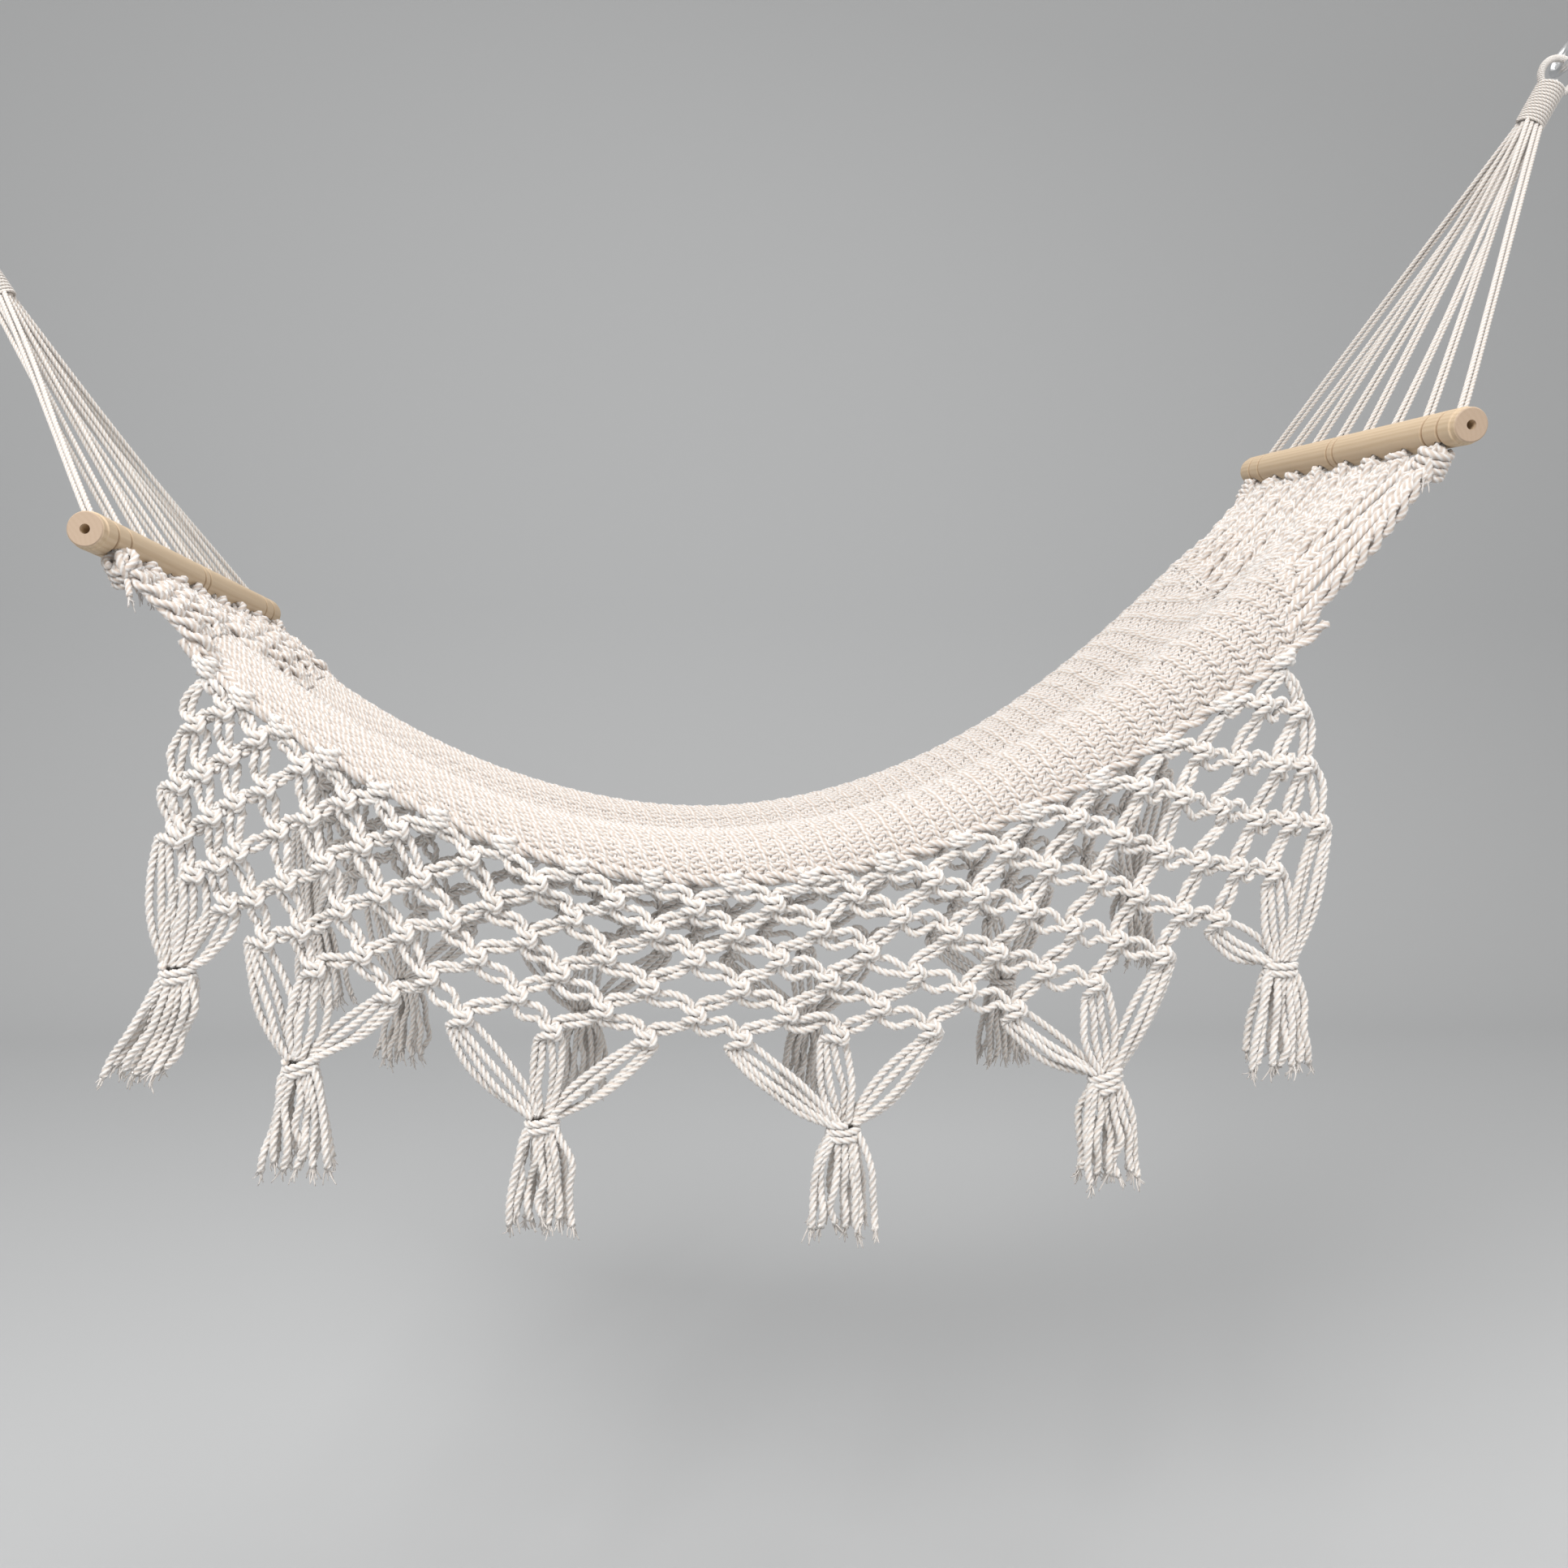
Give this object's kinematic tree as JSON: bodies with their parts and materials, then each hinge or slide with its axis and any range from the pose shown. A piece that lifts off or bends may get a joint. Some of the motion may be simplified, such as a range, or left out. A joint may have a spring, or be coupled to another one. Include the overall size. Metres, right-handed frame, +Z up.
{
  "type": "rope hammock",
  "caption": "Woven rope hammock bed between two turned wooden spreader bars, with fan-shaped clew cords to a ring at each end and a knotted fringe with tassels.",
  "frame": {"origin": "inner crown of the left ring, where its hook bears", "axes": "+X along the hammock from the left ring to the right one, +Y across it from front to rear, +Z up"},
  "size_m": [1.4091, 0.388, 1.0064],
  "materials": {
    "ring_steel": "satin",
    "bar_wood": "bare, sanded",
    "clew_cord": "twisted cotton",
    "fringe_cord": "twisted cotton",
    "bed_rope": "twisted cotton"
  },
  "bodies": {
    "anchors": {"left_ring": "ring_steel", "right_ring": "ring_steel"},
    "hammock": {"bed": "bed_rope", "left_lacing": "bed_rope", "right_lacing": "bed_rope", "front_edge_cord": "bed_rope", "front_edge_hitches": "fringe_cord", "rear_edge_cord": "bed_rope", "rear_edge_hitches": "fringe_cord", "front_fringe_1": "fringe_cord", "front_fringe_2": "fringe_cord", "front_fringe_3": "fringe_cord", "front_fringe_4": "fringe_cord", "front_fringe_5": "fringe_cord", "front_fringe_6": "fringe_cord", "rear_fringe_1": "fringe_cord", "rear_fringe_2": "fringe_cord", "rear_fringe_3": "fringe_cord", "rear_fringe_4": "fringe_cord", "rear_fringe_5": "fringe_cord", "rear_fringe_6": "fringe_cord"},
    "left_rig": {"left_bar": "bar_wood", "left_eye": "clew_cord", "left_neck": "clew_cord", "left_clew_1": "clew_cord", "left_clew_2": "clew_cord", "left_clew_3": "clew_cord", "left_clew_4": "clew_cord", "left_clew_5": "clew_cord", "left_clew_6": "clew_cord", "left_clew_7": "clew_cord", "left_clew_8": "clew_cord"},
    "right_rig": {"right_bar": "bar_wood", "right_eye": "clew_cord", "right_neck": "clew_cord", "right_clew_1": "clew_cord", "right_clew_2": "clew_cord", "right_clew_3": "clew_cord", "right_clew_4": "clew_cord", "right_clew_5": "clew_cord", "right_clew_6": "clew_cord", "right_clew_7": "clew_cord", "right_clew_8": "clew_cord"},
    "front_tassel_1_body": {"front_tassel_1": "fringe_cord"},
    "front_tassel_2_body": {"front_tassel_2": "fringe_cord"},
    "front_tassel_3_body": {"front_tassel_3": "fringe_cord"},
    "front_tassel_4_body": {"front_tassel_4": "fringe_cord"},
    "front_tassel_5_body": {"front_tassel_5": "fringe_cord"},
    "front_tassel_6_body": {"front_tassel_6": "fringe_cord"},
    "rear_tassel_1_body": {"rear_tassel_1": "fringe_cord"},
    "rear_tassel_2_body": {"rear_tassel_2": "fringe_cord"},
    "rear_tassel_3_body": {"rear_tassel_3": "fringe_cord"},
    "rear_tassel_4_body": {"rear_tassel_4": "fringe_cord"},
    "rear_tassel_5_body": {"rear_tassel_5": "fringe_cord"},
    "rear_tassel_6_body": {"rear_tassel_6": "fringe_cord"}
  },
  "joints": [
    {"name": "swing", "type": "hinge", "parent": "anchors", "child": "hammock", "pos_m": [0.01993, 0, -0.03058], "axis": [0.9919, 0, 0.1268], "range_deg": [-25, 25]},
    {"name": "left_bar_roll", "type": "hinge", "parent": "hammock", "child": "left_rig", "pos_m": [0.01993, 0, -0.03058], "axis": [0.5461, 0, -0.8377], "range_deg": [-10, 10], "stiffness_Nm_per_rad": 0.5, "deforming": ["left_lacing"]},
    {"name": "right_bar_roll", "type": "hinge", "parent": "hammock", "child": "right_rig", "pos_m": [1.38086, 0, 0.14342], "axis": [-0.4848, 0, -0.8746], "range_deg": [-10, 10], "stiffness_Nm_per_rad": 0.5, "deforming": ["right_lacing"]},
    {"name": "front_tassel_1_swing", "type": "hinge", "parent": "hammock", "child": "front_tassel_1_body", "pos_m": [0.24773, -0.16974, -0.60966], "axis": [1, 0, 0], "range_deg": [-35, 35]},
    {"name": "front_tassel_2_swing", "type": "hinge", "parent": "hammock", "child": "front_tassel_2_body", "pos_m": [0.3354, -0.17, -0.6797], "axis": [1, 0, 0], "range_deg": [-35, 35]},
    {"name": "front_tassel_3_swing", "type": "hinge", "parent": "hammock", "child": "front_tassel_3_body", "pos_m": [0.51304, -0.17, -0.72555], "axis": [1, 0, 0], "range_deg": [-35, 35]},
    {"name": "front_tassel_4_swing", "type": "hinge", "parent": "hammock", "child": "front_tassel_4_body", "pos_m": [0.73987, -0.17, -0.73348], "axis": [1, 0, 0], "range_deg": [-35, 35]},
    {"name": "front_tassel_5_swing", "type": "hinge", "parent": "hammock", "child": "front_tassel_5_body", "pos_m": [0.94073, -0.17, -0.69681], "axis": [1, 0, 0], "range_deg": [-35, 35]},
    {"name": "front_tassel_6_swing", "type": "hinge", "parent": "hammock", "child": "front_tassel_6_body", "pos_m": [1.07483, -0.16997, -0.61132], "axis": [1, 0, 0], "range_deg": [-35, 35]},
    {"name": "rear_tassel_1_swing", "type": "hinge", "parent": "hammock", "child": "rear_tassel_1_body", "pos_m": [0.24773, 0.16974, -0.63299], "axis": [1, 0, 0], "range_deg": [-35, 35]},
    {"name": "rear_tassel_2_swing", "type": "hinge", "parent": "hammock", "child": "rear_tassel_2_body", "pos_m": [0.3354, 0.17, -0.6915], "axis": [1, 0, 0], "range_deg": [-35, 35]},
    {"name": "rear_tassel_3_swing", "type": "hinge", "parent": "hammock", "child": "rear_tassel_3_body", "pos_m": [0.51304, 0.17, -0.72561], "axis": [1, 0, 0], "range_deg": [-35, 35]},
    {"name": "rear_tassel_4_swing", "type": "hinge", "parent": "hammock", "child": "rear_tassel_4_body", "pos_m": [0.73987, 0.17, -0.73348], "axis": [1, 0, 0], "range_deg": [-35, 35]},
    {"name": "rear_tassel_5_swing", "type": "hinge", "parent": "hammock", "child": "rear_tassel_5_body", "pos_m": [0.94073, 0.17, -0.69612], "axis": [1, 0, 0], "range_deg": [-35, 35]},
    {"name": "rear_tassel_6_swing", "type": "hinge", "parent": "hammock", "child": "rear_tassel_6_body", "pos_m": [1.07483, 0.16997, -0.59659], "axis": [1, 0, 0], "range_deg": [-35, 35]}
  ]
}
